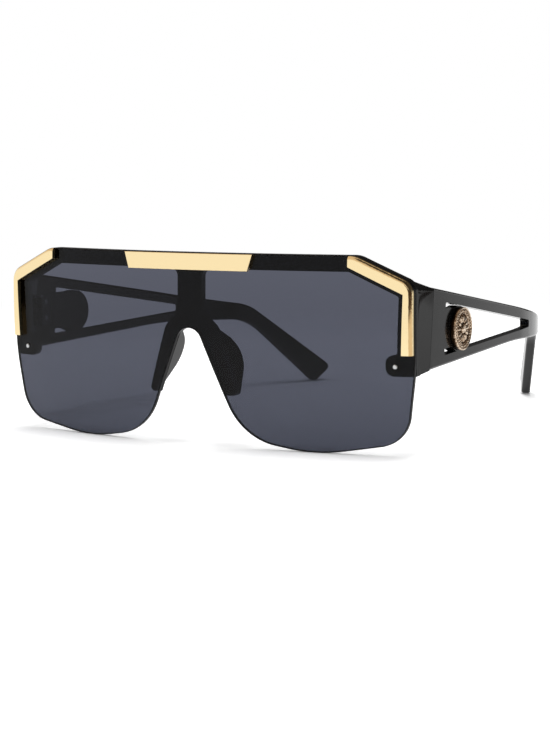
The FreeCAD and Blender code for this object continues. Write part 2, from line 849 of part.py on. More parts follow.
def make_medallion():
    seat = Vector(arm_outer + seat_gap, boss_length, boss_height)
    face = seat + along_x * medallion_base
    disc = rod(medallion_radius, seat, along_x, medallion_base + medallion_rim_height)
    rim_inner = medallion_radius - medallion_rim_width
    disc = disc.cut(rod(rim_inner, face, along_x, medallion_rim_height + overrun))
    rim_edges = [
        edge for edge in disc.Edges
        if abs(edge.BoundBox.XMin - face.x - medallion_rim_height) < match_tolerance
    ]
    disc = disc.makeFillet(medallion_rim_round, rim_edges)
    pieces = []
    for i in range(petal_count):
        turn = math.radians(360 * i / petal_count)
        outwards = Vector(0, math.cos(turn), math.sin(turn))
        length = petal_end - petal_start
        pieces.append(Part.makeCone(petal_start_radius, petal_end_radius, length,
                                    face + outwards * petal_start, outwards))
        pieces.append(Part.makeSphere(petal_end_radius, face + outwards * petal_end))
    dome_radius = (heart_radius ** 2 + heart_height ** 2) / (2 * heart_height)
    pieces.append(Part.makeSphere(dome_radius, face + along_x * (heart_height - dome_radius)))
    relief = pieces[0].fuse(pieces[1:])
    relief = relief.common(rod(rim_inner, face - along_x * (medallion_base / 2), along_x,
                               medallion_base + heart_height + petal_end_radius))
    stud = rod(medallion_stud_radius, Vector(arm_outer - medallion_stud_length, boss_length, boss_height),
               along_x, medallion_stud_length + seat_gap + medallion_base / 2)
    return disc.fuse([relief, stud]).removeSplitter()


def make_pieces():
    """Every piece, by name, with the foremost point of the lens at Y = 0."""
    one = {
        "shield_lens": drill_lens(make_lens()),
        "front_frame": make_frame(),
        "brow_trim": make_brow_trim(),
        "brow_trim_screws": Part.makeCompound([make_trim_screw(x, z) for x, z in brow_studs()]),
    }
    paired = {
        "corner_trim": make_corner_trim(),
        "corner_trim_screw": make_trim_screw(*arm_stud()),
        "lens_screw": make_lens_screw(),
        "lens_nut": make_lens_nut(),
        "nose_pad": make_nose_pad(),
        "front_hinge": make_leaf(-1, front_leaf_length, front_leaf_screw_place, 0),
        "front_hinge_screws": make_leaf_screws(-1, front_leaf_screw_place),
        "hinge_screw": make_hinge_screw(),
        "temple_hinge": lean(make_leaf(1, arm_leaf_length, arm_leaf_screw_place, 1)),
        "temple_hinge_screws": lean(make_leaf_screws(1, arm_leaf_screw_place)),
        "temple": lean(make_arm()),
        "medallion": lean(make_medallion()),
    }
    pieces = dict(one)
    for name, shape in paired.items():
        pieces[name + "_left"] = shape
        pieces[name + "_right"] = mirror(shape)
    return pieces


def main():
    """Stand the pieces on the table, centred from front to back, and write each to its own file."""
    os.makedirs("parts", exist_ok=True)
    pieces = make_pieces()
    bounds = Part.makeCompound(list(pieces.values())).optimalBoundingBox(False, False)
    shift = Vector(0, -(bounds.YMin + bounds.YMax) / 2, -bounds.ZMin)
    print("size", round(bounds.XLength, 2), round(bounds.YLength, 2), round(bounds.ZLength, 2))
    print("shift", round(shift.y, 3), round(shift.z, 3))
    print("hinge axis", round(hinge_place.x, 3), round(hinge_place.y + shift.y, 3))
    for name, shape in pieces.items():
        placed = shape.copy()
        placed.translate(shift)
        placed.exportStep(os.path.join("parts", name + ".step"))
        print(name, len(placed.Solids), round(placed.Volume, 2), placed.isValid())


main()
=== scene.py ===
# %% [markdown]
# Oversized shield sunglasses, dressed for a picture.
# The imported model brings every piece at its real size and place, in metres.
# This lesson gives the pieces their shading and finish, adds the fine relief that a
# moulding or a casting has, and lights the whole on a white table.

import json
import math

import bmesh
import bpy
from mathutils import Matrix, Vector


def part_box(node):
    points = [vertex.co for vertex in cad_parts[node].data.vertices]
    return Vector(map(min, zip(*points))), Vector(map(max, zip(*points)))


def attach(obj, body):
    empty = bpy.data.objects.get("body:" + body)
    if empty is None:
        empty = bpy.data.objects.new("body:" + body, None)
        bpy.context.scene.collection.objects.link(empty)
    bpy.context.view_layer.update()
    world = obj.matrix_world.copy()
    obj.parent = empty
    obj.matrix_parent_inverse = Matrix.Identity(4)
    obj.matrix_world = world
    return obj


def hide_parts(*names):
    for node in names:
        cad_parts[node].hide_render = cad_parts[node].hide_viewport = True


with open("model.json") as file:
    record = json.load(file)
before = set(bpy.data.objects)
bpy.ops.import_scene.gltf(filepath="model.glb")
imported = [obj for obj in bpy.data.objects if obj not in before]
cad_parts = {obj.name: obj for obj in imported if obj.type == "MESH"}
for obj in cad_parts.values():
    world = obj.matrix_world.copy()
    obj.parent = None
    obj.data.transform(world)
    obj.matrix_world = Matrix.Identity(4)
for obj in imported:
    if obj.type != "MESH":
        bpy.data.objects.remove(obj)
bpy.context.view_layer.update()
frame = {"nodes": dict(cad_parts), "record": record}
scene = bpy.context.scene
sides = {"left": 1, "right": -1}
bodies = frame["record"]["behaviour"]["bodies"]
body_of_node = {node: body for body, nodes in bodies.items() for node in nodes}

# %% [markdown]
# The picture is taken from in front of the glasses, from the wearer's left and a little above.
# A camera can be placed by eye and nudged, but it is steadier to write down its turn and rise
# about a point of the object, its distance and a slight roll. The focal length follows from the
# picture's height in pixels, because the sensor's width lies along the longer side.

# %% The camera
camera_turn = math.radians(31.229)
camera_rise = math.radians(6.968)
camera_roll = math.radians(-0.769)
camera_distance = 0.650
camera_target = Vector((0.011876, -0.046530, 0.021528))
picture_height = 733
focal_pixels = 2057.2
sensor_width = 36.0
clip_times = 100

towards_camera = Vector((
    math.sin(camera_turn) * math.cos(camera_rise),
    -math.cos(camera_turn) * math.cos(camera_rise),
    math.sin(camera_rise),
))
camera_data = bpy.data.cameras.new("camera")
camera_data.sensor_width = sensor_width
camera_data.lens = focal_pixels * sensor_width / picture_height
camera_data.clip_start = camera_distance / clip_times
camera_data.clip_end = camera_distance * clip_times
camera = bpy.data.objects.new("camera", camera_data)
scene.collection.objects.link(camera)
facing = towards_camera.to_track_quat("Z", "Y").to_matrix().to_4x4()
camera.matrix_world = (
    Matrix.Translation(camera_target + towards_camera * camera_distance)
    @ facing
    @ Matrix.Rotation(camera_roll, 4, "Z")
)
scene.camera = camera
print("lens", round(camera_data.lens, 2), "mm")

# %% [markdown]
# A material is a small graph of nodes. These helpers start one with a Principled shader, put
# numbers straight on its sockets and wire one node's output to another's input, so that each
# finish below reads as a short list of what is special about it. They serve the graph of a
# world as well.

# %% Helpers for graphs
def new_finish(name, **sockets):
    """A material with a Principled shader, whose sockets are named with underscores for spaces."""
    material = bpy.data.materials.new(name)
    material.use_nodes = True
    shader = material.node_tree.nodes["Principled BSDF"]
    for socket, value in sockets.items():
        shader.inputs[socket.replace("_", " ")].default_value = value
    return material, shader


def add_node(owner, kind, **settings):
    """A node of one kind in the graph of a material or a world."""
    node = owner.node_tree.nodes.new(kind)
    for name, value in settings.items():
        setattr(node, name, value)
    return node


def join(owner, output, socket):
    """Wires an output to a socket."""
    owner.node_tree.links.new(output, socket)


print("made new_finish, add_node and join")

# %% [markdown]
# Numbers in a graph are worked out by nodes too. These helpers combine two numbers, carry one
# from a range over to another, and read a place: its X, Y or Z, or how far it lies along an
# axis.

# %% Helpers for numbers
def combine(owner, operation, first, second):
    """One number worked out from two."""
    node = add_node(owner, "ShaderNodeMath", operation=operation)
    join(owner, first, node.inputs[0])
    join(owner, second, node.inputs[1])
    return node.outputs["Value"]


def remap(owner, value, low, high, first=0.0, last=1.0, way="LINEAR"):
    """A number that goes from first to last while a value goes from low to high."""
    node = add_node(owner, "ShaderNodeMapRange", interpolation_type=way)
    node.inputs["From Min"].default_value = low
    node.inputs["From Max"].default_value = high
    node.inputs["To Min"].default_value = first
    node.inputs["To Max"].default_value = last
    join(owner, value, node.inputs["Value"])
    return node.outputs["Result"]


def fade_in(owner, value, low, high, last=1.0):
    """Runs softly from zero to a last number while a value goes from low to high."""
    return remap(owner, value, low, high, last=last, way="SMOOTHSTEP")


def part_of_place(owner, place, letter):
    """The X, Y or Z of a place."""
    node = add_node(owner, "ShaderNodeSeparateXYZ")
    join(owner, place, node.inputs["Vector"])
    return node.outputs[letter]


def reach_along(owner, place, axis):
    """How far a place lies along an axis."""
    node = add_node(owner, "ShaderNodeVectorMath", operation="DOT_PRODUCT")
    node.inputs[1].default_value = axis
    join(owner, place, node.inputs[0])
    return node.outputs["Value"]


print("made combine, remap, fade_in, part_of_place and reach_along")

# %% [markdown]
# No finish is the same all over. Noise makes it vary, and it reads Object coordinates, which
# go along with a piece, so that the pattern stays in place when an arm folds. Noise seldom
# leaves its middle third, so that is the part which is spread over a range.

# %% Helpers for patterns
noise_low = 1 / 3
noise_high = 2 / 3
usual_detail = 4.0
new_stop_place = 0.5


def object_place(material, scale=1.0):
    """Object coordinates, scaled."""
    place = add_node(material, "ShaderNodeTexCoord")
    mapping = add_node(material, "ShaderNodeMapping")
    mapping.inputs["Scale"].default_value = (scale, scale, scale)
    join(material, place.outputs["Object"], mapping.inputs["Vector"])
    return mapping.outputs["Vector"]


def noise(material, lumps, detail=usual_detail):
    """Noise on Object coordinates, with about so many lumps to a metre."""
    texture = add_node(material, "ShaderNodeTexNoise")
    texture.inputs["Scale"].default_value = lumps
    texture.inputs["Detail"].default_value = detail
    join(material, object_place(material), texture.inputs["Vector"])
    return texture.outputs["Fac"]


def spread(material, value, low, high):
    """Noise, spread over a range of numbers."""
    return remap(material, value, noise_low, noise_high, low, high)


def ramp(owner, value, stops):
    """A colour ramp through stops of a place and a colour."""
    node = add_node(owner, "ShaderNodeValToRGB")
    elements = node.color_ramp.elements
    while len(elements) < len(stops):
        elements.new(new_stop_place)
    for element, (place, colour) in zip(elements, stops):
        element.position = place
        element.color = (*colour, 1)
    join(owner, value, node.inputs["Fac"])
    return node.outputs["Color"]


print("noise is spread from", round(noise_low, 2), "to", round(noise_high, 2))

# %% [markdown]
# A surface shows its making in two ways: the polish is uneven, and what should be flat is very
# slightly wavy. The first is noise on the roughness, the second is noise as the height of a bump.

# %% Helpers for surfaces
def uneven_polish(material, shader, lumps, polish, detail=usual_detail):
    """A roughness that varies from place to place within the limits of a polish."""
    join(material, spread(material, noise(material, lumps, detail), *polish), shader.inputs["Roughness"])


def bump(material, shader, height, strength, depth):
    """Lets a height from zero to one tilt the surface, as if it were so deep in metres."""
    node = add_node(material, "ShaderNodeBump")
    node.inputs["Strength"].default_value = strength
    node.inputs["Distance"].default_value = depth
    join(material, height, node.inputs["Height"])
    join(material, node.outputs["Normal"], shader.inputs["Normal"])


print("made uneven_polish and bump")

# %% [markdown]
# The lens is tinted right through. Its colour is a little darker towards the bottom, partly a tint of its
# own and partly painted shade for the table's shadow seen through it. It could be a clear plate with an
# absorbing volume, but a Principled shader that lets light through, with the tint in its colour, keeps its
# look when the model is exported. Its low index stands for the coating that takes the glare off the faces.
# The sawn and painted edge lets no light in, so it has a dark finish of its own.

# %% Finishes of the lens
# The darker low colour is partly painted shade, standing for the table's shadow seen through the lens.
lens_low_tint_and_shade = (0.058, 0.063, 0.086)
lens_high_tint = (0.096, 0.102, 0.134)
lens_index = 1.23
edge_colour = (0.004, 0.004, 0.005)
edge_glint = 0.12
edge_polish = (0.16, 0.30)
edge_lumps = 900.0
lens_low, lens_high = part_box("shield_lens")

smoke, shader = new_finish("smoke_lens", Roughness=0.0, IOR=lens_index, Transmission_Weight=1.0)
lens_rise = part_of_place(smoke, object_place(smoke, 1 / lens_high.z), "Z")
lens_tint_and_shade = ramp(smoke, lens_rise, [(0.0, lens_low_tint_and_shade), (1.0, lens_high_tint)])
join(smoke, lens_tint_and_shade, shader.inputs["Base Color"])

lens_edge, shader = new_finish("lens_edge", Base_Color=(*edge_colour, 1), Specular_IOR_Level=edge_glint)
uneven_polish(lens_edge, shader, edge_lumps, edge_polish)
print("lens finishes", smoke.name, lens_edge.name)

# %% [markdown]
# The frame and the arms are black plastic, tumbled to a gloss. A gloss black surface is all
# reflection, so what makes it real is that the gloss isn't perfect: the polish varies a little
# from place to place, and the surface is very slightly wavy. The arms have a low specular
# level, so that faces seen squarely stay black and only those seen at a slant turn grey. The
# frame is lacquered as well and shines more, and the pads are moulded with a duller skin.

# %% Finishes of the black plastic
gloss_lumps = 260.0
gloss_detail = 6.0
wave_lumps = 170.0
wave_detail = 2.0
wave_depth = 0.0002
tumbled = (0.08, 0.15)
moulded = (0.12, 0.18)


def black_plastic(name, colour, glint, polish, wave):
    """A black with a specular level, the limits of its polish and the strength of its waves."""
    finish, shader = new_finish(name, Base_Color=(*colour, 1), Specular_IOR_Level=glint)
    uneven_polish(finish, shader, gloss_lumps, polish, gloss_detail)
    bump(finish, shader, noise(finish, wave_lumps, wave_detail), wave, wave_depth)
    return finish


frame_black = black_plastic("frame_black", (0.008, 0.008, 0.008), glint=0.42, polish=tumbled, wave=0.05)
arm_black = black_plastic("arm_black", (0.006, 0.006, 0.006), glint=0.32, polish=tumbled, wave=0.05)
pad_black = black_plastic("pad_black", (0.006, 0.006, 0.007), glint=0.16, polish=moulded, wave=0.04)
print("black finishes", frame_black.name, arm_black.name, pad_black.name)

# %% [markdown]
# The trims are gold plate over a polished casting. Metal takes its colour from what it
# mirrors, so the plate needs only a base colour and a fine, uneven polish. The screws in the
# lens are bright steel, those in the hinges are dull from handling, and the hinge leaves are
# steel that was blackened to go with the frame.

# %% Finishes of the metals
gold_lumps = 900.0
steel_lumps = 2400.0
metal_detail = 5.0
dent_size = 4
dent_detail = 2.0
dent_strength = 0.015
dent_depth = 0.0001


def plated(name, colour, polish, lumps):
    """A metal with the limits of its polish and dents that are a few times as wide as its lumps."""
    finish, shader = new_finish(name, Base_Color=(*colour, 1), Metallic=1.0)
    uneven_polish(finish, shader, lumps, polish, metal_detail)
    bump(finish, shader, noise(finish, lumps / dent_size, dent_detail), dent_strength, dent_depth)
    return finish


polished_gold = plated("polished_gold", (0.97, 0.78, 0.45), polish=(0.07, 0.13), lumps=gold_lumps)
bright_steel = plated("bright_steel", (0.58, 0.59, 0.60), polish=(0.22, 0.34), lumps=steel_lumps)
dull_steel = plated("dull_steel", (0.20, 0.20, 0.21), polish=(0.30, 0.42), lumps=steel_lumps)
black_steel = plated("black_steel", (0.040, 0.040, 0.043), polish=(0.24, 0.38), lumps=steel_lumps)
print("metal finishes", polished_gold.name, bright_steel.name, dull_steel.name, black_steel.name)

# %% [markdown]
# The medallions are gold too, but antiqued: a dark wash is brushed over the casting and rubbed
# off again, so it stays in the hollows. Here the wash goes by height. The dot product of a
# point and the medallion's axis says how far it stands out from its seat, a little noise
# frays the limit, and a ramp runs from brown through tan to gold.

# %% The antiqued gold
medallion_seats = {side: Vector((sign * 0.073298, -0.040256, 0.035596)) for side, sign in sides.items()}
medallion_axes = {side: Vector((sign * 0.99867, 0.05164, 0)) for side, sign in sides.items()}
wash_low = 0.0010
wash_high = 0.0018
wash_fray = 0.00035
wash_lumps = 1800.0
wash_detail = 3.0
wash_stops = [
    (0.0, (0.036, 0.020, 0.010)),
    (0.30, (0.30, 0.20, 0.13)),
    (0.60, (0.50, 0.38, 0.27)),
    (1.0, (0.82, 0.69, 0.55)),
]
rubbed = (0.22, 0.38)
rubbed_lumps = 1200.0


def antique_gold(side):
    """A gold that goes over to a brown wash towards the medallion's seat."""
    finish, shader = new_finish("antique_gold_" + side, Metallic=1.0)
    axis = medallion_axes[side]
    seat_height = medallion_seats[side].dot(axis)
    height = reach_along(finish, object_place(finish), axis)
    fray = spread(finish, noise(finish, wash_lumps, wash_detail), -wash_fray, wash_fray)
    frayed = combine(finish, "ADD", height, fray)
    share = remap(finish, frayed, seat_height + wash_low, seat_height + wash_high)
    join(finish, ramp(finish, share, wash_stops), shader.inputs["Base Color"])
    uneven_polish(finish, shader, rubbed_lumps, rubbed)
    return finish


antique_golds = {side: antique_gold(side) for side in sides}
print("antiqued finishes", [finish.name for finish in antique_golds.values()])

# %% [markdown]
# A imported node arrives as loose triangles. To shade it smoothly its corners are merged, its
# faces are set smooth, and edges sharper than a crease stay sharp.

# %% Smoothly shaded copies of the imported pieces
merge_distance = 1e-6
crease = math.radians(35)


def smooth_copy(node, slot, *materials):
    """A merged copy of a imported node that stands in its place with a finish."""
    shape = bmesh.new()
    shape.from_mesh(frame["nodes"][node].data)
    bmesh.ops.remove_doubles(shape, verts=shape.verts, dist=merge_distance)
    mesh = bpy.data.meshes.new(node + "_finish")
    shape.to_mesh(mesh)
    shape.free()
    for material in materials:
        mesh.materials.append(material)
    mesh.shade_smooth()
    mesh.set_sharp_from_angle(angle=crease)
    return place_piece(mesh, node)


def place_piece(mesh, node):
    """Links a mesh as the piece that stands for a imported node."""
    piece = bpy.data.objects.new(node + "_finish", mesh)
    scene.collection.objects.link(piece)
    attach(piece, body_of_node[node])
    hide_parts(node)
    return piece


print("pieces are merged within", merge_distance, "m")

# %% [markdown]
# Where a flat side runs into a small round edge, plain smooth shading tilts the whole side a
# little, and a gloss shows that at once. So the triangles that lie in one plane are counted as
# one face, and each corner takes its normal from the faces that meet there, by their areas
# squared, so that the largest outweighs the rest. A weighted normal does that for single
# triangles only, which is too little for long thin ones.

# %% Shading that keeps flat sides flat
flat_limit = math.radians(0.3)
area_power = 2


def face_areas(shape):
    """The area of the flat face that each triangle belongs to."""
    areas = {}
    for face in shape.faces:
        if face in areas:
            continue
        group, waiting = {face}, [face]
        while waiting:
            for edge in waiting.pop().edges:
                for other in edge.link_faces:
                    known = other in group or other in areas
                    if not known and other.normal.angle(face.normal, 0) < flat_limit:
                        group.add(other)
                        waiting.append(other)
        total = sum(other.calc_area() for other in group)
        areas.update({other: total for other in group})
    return areas


def even_shading(piece):
    """Gives each corner a normal that follows the largest of the faces that meet there without a crease."""
    shape = bmesh.new()
    shape.from_mesh(piece.data)
    shape.normal_update()
    areas = face_areas(shape)
    normals = []
    for face in shape.faces:
        for corner in face.loops:
            normal = Vector()
            for other in corner.vert.link_faces:
                if other.normal.angle(face.normal, 0) < crease:
                    normal += other.normal * areas[other] ** area_power
            normals.append(normal.normalized())
    shape.free()
    piece.data.normals_split_custom_set(normals)
    return piece


print("flat within", round(math.degrees(flat_limit), 2), "degrees")

# %% [markdown]
# The lens is part of a large ball, and so are the faces of the frame and trims that lie along
# it. Flat triangles would break up its reflections, so the corners of those faces get
# the ball's own normals. A face is on the ball when its corners are equally far from the
# ball's middle.

# %% The lens
ball_radius = 0.315
ball_height = 0.038496
ball_middle = Vector((0, lens_low.y + ball_radius, ball_height))
ball_slack = 4e-6
ball_turn = math.radians(10)


def ball_shading(piece, edge_material=0):
    """Gives the faces that follow the lens's ball its normals, and marks the others as edge."""
    mesh = piece.data
    mesh.update()
    normals = [Vector(corner.vector) for corner in mesh.corner_normals]
    on_ball = 0
    for polygon in mesh.polygons:
        reaches = [(mesh.vertices[i].co - ball_middle).length for i in polygon.vertices]
        outwards = (polygon.center - ball_middle).normalized()
        sense = 1 if polygon.normal.dot(outwards) > 0 else -1
        if max(reaches) - min(reaches) > ball_slack or polygon.normal.angle(outwards * sense) > ball_turn:
            polygon.material_index = edge_material
            continue
        on_ball += 1
        for corner in polygon.loop_indices:
            point = mesh.vertices[mesh.loops[corner].vertex_index].co
            normals[corner] = (point - ball_middle).normalized() * sense
    mesh.normals_split_custom_set(normals)
    return on_ball


lens = even_shading(smooth_copy("shield_lens", "smoke_lens", smoke, lens_edge))
print("lens faces on the ball", ball_shading(lens, edge_material=1), "of", len(lens.data.polygons))

# %% [markdown]
# The frame carries everything else: brow bar, corner rims, nose arch and the end pieces with
# the hinges. Its front follows the same ball as the lens. The arms and the nose pads are
# moulded, with flat sides that meet in small round edges, so even shading is enough there.

# %% The frame, the pads and the arms
front = even_shading(smooth_copy("front_frame", "black_frame", frame_black))
print("frame faces on the ball", ball_shading(front), "of", len(front.data.polygons))
for side in sides:
    pad = even_shading(smooth_copy("nose_pad_" + side, "black_pad", pad_black))
    arm = even_shading(smooth_copy("temple_" + side, "black_frame", arm_black))
    print(side, "pad faces", len(pad.data.polygons), "and arm faces", len(arm.data.polygons))

# %% [markdown]
# Three gold trims lie on the lens: a plate on the brow and a bent one on each corner, flat
# along their inner half and rolled over along their outer edge. The flat half follows the ball.

# %% The gold trims
for node in ("brow_trim", "corner_trim_left", "corner_trim_right"):
    trim = even_shading(smooth_copy(node, "polished_gold", polished_gold))
    print(node, "faces on the ball", ball_shading(trim), "of", len(trim.data.polygons))

# %% [markdown]
# Screws and nuts are plain steel turnings. The leaves of the hinges are stamped and rolled, and
# blackened, so that they don't shine out through the lens.

# %% The screws, nuts and hinges
turnings = [node for node in body_of_node if "screw" in node or "nut" in node]
leaves = [node for node in body_of_node if "hinge" in node and node not in turnings]
for node in body_of_node:
    if node in turnings:
        even_shading(smooth_copy(node, "steel", dull_steel if "hinge" in node else bright_steel))
    elif node in leaves:
        even_shading(smooth_copy(node, "black_steel", black_steel))
print("turnings", len(turnings), "and hinge leaves", len(leaves))

# %% [markdown]
# A medallion sits on the boss of each arm: a disc with a raised rim, a ring of beads inside it
# and a rosette round a domed heart. The disc is an outline spun about its axis, with the stud
# that holds it behind. The outline runs from the stud over the rim, along the band of the beads
# and over a ridge to the field of the rosette, in millimetres of radius and height.

# %% The medallion's disc
mm = 0.001
disc_segments = 96
stud = [(0.0, -2.2), (1.0, -2.2), (1.0, 0.0)]
rim_outside = [(6.41, 0.0), (6.55, 0.15), (6.55, 1.45), (6.47, 1.62), (6.28, 1.7)]
rim_inside = [(6.09, 1.62), (6.02, 1.48), (5.96, 1.33)]
bead_band = [(5.89, 1.3), (4.92, 1.3)]
ridge = [(4.84, 1.33), (4.77, 1.5), (4.65, 1.56), (4.54, 1.45), (4.46, 1.1)]
field = [(4.39, 1.0), (0.0, 1.0)]


def turned(outline, segments):
    """A solid turned about Z, from an outline of radius and height in millimetres."""
    shape = bmesh.new()
    points = [shape.verts.new((radius * mm, 0, height * mm)) for radius, height in outline]
    edges = [shape.edges.new(ends) for ends in zip(points, points[1:])]
    bmesh.ops.spin(
        shape, geom=points + edges, axis=(0, 0, 1), angle=2 * math.pi, steps=segments, use_merge=True
    )
    bmesh.ops.remove_doubles(shape, verts=shape.verts, dist=merge_distance)
    bmesh.ops.recalc_face_normals(shape, faces=shape.faces)
    return shape


disc = turned(stud + rim_outside + rim_inside + bead_band + ridge + field, disc_segments)
print("disc faces", len(disc.faces))

# %% [markdown]
# Beads and petals are small balls, flattened and set round the axis, half sunk in the disc, as
# a chaser builds up such a relief. They are all the same kind of ball with its own lengths, so
# one helper sets a ring of them. It takes the ring's radius and height, and each ball's half
# lengths outwards, along the ring and up, all in millimetres.

# %% The beads, the petals and the heart
relief = {
    "beads": dict(count=36, radius=5.40, height=1.3, lengths=(0.40, 0.40, 0.36), facets=(12, 8)),
    "petals": dict(count=12, radius=3.04, height=1.0, lengths=(1.28, 0.59, 0.75), facets=(20, 12)),
    "sepals": dict(count=12, radius=3.56, height=1.0, lengths=(0.81, 0.25, 0.5), facets=(16, 8), share=0.5),
    "heart": dict(count=1, radius=0, height=1.0, lengths=(1.47, 1.47, 1.15), facets=(32, 16)),
    "seeds": dict(count=8, radius=0.90, height=1.85, lengths=(0.23, 0.23, 0.26), facets=(10, 6)),
    "tip": dict(count=1, radius=0, height=2.0, lengths=(0.3, 0.3, 0.19), facets=(12, 8)),
}


def ring_of_balls(shape, count, radius, height, lengths, facets, share=0):
    """Sets balls round the axis, turned on by a share of the step from one to the next."""
    around, upwards = facets
    place = Matrix.Translation((radius * mm, 0, height * mm))
    size = Matrix.Diagonal((*(length * mm for length in lengths), 1))
    for i in range(count):
        turn = Matrix.Rotation(2 * math.pi * (i + share) / count, 4, "Z")
        bmesh.ops.create_uvsphere(
            shape, u_segments=around, v_segments=upwards, radius=1, matrix=turn @ place @ size
        )


for name, ring in relief.items():
    ring_of_balls(disc, **ring)
    print(name, ring["count"], "and medallion faces so far", len(disc.faces))

# %% [markdown]
# The finished shape is turned from Z to the outward axis of each boss and moved to its seat,
# once for the left arm and once for the right.

# %% The medallions on the arms
for side in sides:
    shape = disc.copy()
    facing = medallion_axes[side].to_track_quat("Z", "Y").to_matrix().to_4x4()
    seated = Matrix.Translation(medallion_seats[side]) @ facing
    bmesh.ops.transform(shape, matrix=seated, verts=shape.verts)
    mesh = bpy.data.meshes.new("medallion_" + side + "_finish")
    shape.to_mesh(mesh)
    shape.free()
    mesh.materials.append(antique_golds[side])
    mesh.shade_smooth()
    mesh.set_sharp_from_angle(angle=crease)
    place_piece(mesh, "medallion_" + side)
    print("medallion", side, [round(v, 4) for v in medallion_seats[side]])
disc.free()

# %% [markdown]
# In a studio a card may be mirrored in the gold and never be seen itself. So the stage gives
# each kind of ray its own level. A Light Path node tells the kinds apart. Rays that pass the lens
# count as glossy too, so they are taken off where only mirrored rays are meant.

# %% Helpers for the stage
def rays_of(owner, *kinds):
    """One for rays of the named kinds, and zero for the rest."""
    rays = add_node(owner, "ShaderNodeLightPath")
    most = rays.outputs[kinds[0]]
    for kind in kinds[1:]:
        most = combine(owner, "MAXIMUM", most, rays.outputs[kind])
    return most


def mirrored_rays(owner):
    """One for mirrored rays, without those that pass the lens."""
    return combine(owner, "SUBTRACT", rays_of(owner, "Is Glossy Ray"), rays_of(owner, "Is Transmission Ray"))


def level_for(owner, rays, plain, named):
    """A plain number for most rays, and another for the rays that are named."""
    return remap(owner, rays, 0.0, 1.0, plain, named)


def mix_shaders(owner, share, first, second):
    """Goes from a first shader to a second while a share goes from zero to one."""
    node = add_node(owner, "ShaderNodeMixShader")
    join(owner, share, node.inputs["Fac"])
    join(owner, first, node.inputs[1])
    join(owner, second, node.inputs[2])
    return node.outputs["Shader"]


def stage_finish(name):
    """A material with nothing but its output, and the socket of its surface."""
    material, shader = new_finish(name)
    material.node_tree.nodes.remove(shader)
    return material, material.node_tree.nodes["Material Output"].inputs["Surface"]


print("made rays_of, mirrored_rays, level_for, mix_shaders and stage_finish")

# %% [markdown]
# The glasses stand on a white sweep, as in most pictures of goods for sale. One large square
# is enough for that, because its paper hides its far edges.

# %% The table
table_size = 8.0

shape = bmesh.new()
bmesh.ops.create_grid(shape, x_segments=1, y_segments=1, size=table_size / 2)
table_mesh = bpy.data.meshes.new("table")
shape.to_mesh(table_mesh)
shape.free()
table = bpy.data.objects.new("table", table_mesh)
scene.collection.objects.link(table)
print("table", table_size, "m")

# %% [markdown]
# The paper takes soft light from above and keeps the shadows. To the camera it is brighter
# than the paper that lights the glasses, so that only the shadow right under them is left.
# Rays that pass the lens see it less bright, and mirrored ones see it lifted. Away from the
# glasses it goes over to plain white, so that it has no horizon.

# %% The table's paper
paper_white = 0.80
paper_seen_white = 1.70
paper_bent_white = 1.34
paper_lift = 0.45
paper_clear = 0.20
paper_far = 0.45

white_table, surface = stage_finish("white_table")
paper = add_node(white_table, "ShaderNodeBsdfDiffuse")
seen = level_for(white_table, rays_of(white_table, "Is Camera Ray"), paper_white, paper_seen_white)
bent = level_for(white_table, rays_of(white_table, "Is Transmission Ray"), paper_white, paper_bent_white)
join(white_table, combine(white_table, "MAXIMUM", seen, bent), paper.inputs["Color"])
lift = add_node(white_table, "ShaderNodeEmission")
lifted = level_for(white_table, mirrored_rays(white_table), 0.0, paper_lift)
join(white_table, lifted, lift.inputs["Strength"])
near =add_node(white_table, "ShaderNodeAddShader")
join(white_table, paper.outputs["BSDF"], near.inputs[0])
join(white_table, lift.outputs["Emission"], near.inputs[1])
glow = add_node(white_table, "ShaderNodeEmission")
straight = rays_of(white_table, "Is Camera Ray", "Is Glossy Ray", "Is Transmission Ray")
far = mix_shaders(white_table, straight, paper.outputs["BSDF"], glow.outputs["Emission"])
reach = add_node(white_table, "ShaderNodeVectorMath", operation="LENGTH")
join(white_table, object_place(white_table), reach.inputs[0])
away = fade_in(white_table, reach.outputs["Value"], paper_clear, paper_far)
join(white_table, mix_shaders(white_table, away, near.outputs["Shader"], far), surface)
table_mesh.materials.append(white_table)
print("paper goes over to white from", paper_clear, "to", paper_far, "m")

# %% [markdown]
# Gold and gloss show the room they stand in. Here the ceiling is tan, with a dark patch high on
# the right, where the stands of the lamps are, and the room is dark at the back. Each of these
# is found from the heading of a ray, which is one long, so the limits lie between zero and one.

# %% The room
dark_heading = Vector((0.696, -0.123, 0.707))
dark_limits = (0.62, 0.84)
back_limits = (0.30, 0.60)
horizon_limits = (0.0, 0.06)
dark_level = 0.95

world = bpy.data.worlds.new("studio")
world.use_nodes = True
scene.world = world
heading = add_node(world, "ShaderNodeTexCoord").outputs["Generated"]
upwards = part_of_place(world, heading, "Z")
backwards = part_of_place(world, heading, "Y")
right_patch = fade_in(world, reach_along(world, heading, dark_heading), *dark_limits, dark_level)
behind = fade_in(world, backwards, *back_limits, dark_level)
back_patch = combine(world, "MULTIPLY", behind, fade_in(world, upwards, *horizon_limits))
shade = combine(world, "MAXIMUM", right_patch, back_patch)
print("dark patch towards", [round(v, 2) for v in dark_heading])

# %% [markdown]
# Only mirrored rays see that room. The camera, and rays that pass the lens, see plain white, and
# rays that only light a surface get an even level. So the mirrored room and the plain one are
# two backgrounds, and the kind of ray chooses between them.

# %% The light of the room
plain_light = 0.42
tan = (0.74, 0.62, 0.50)
white = (1, 1, 1)
deep_tan = (0.66, 0.54, 0.42)
ceiling_stops = [(0.0, white), (0.12, white), (0.45, tan), (1.0, deep_tan)]

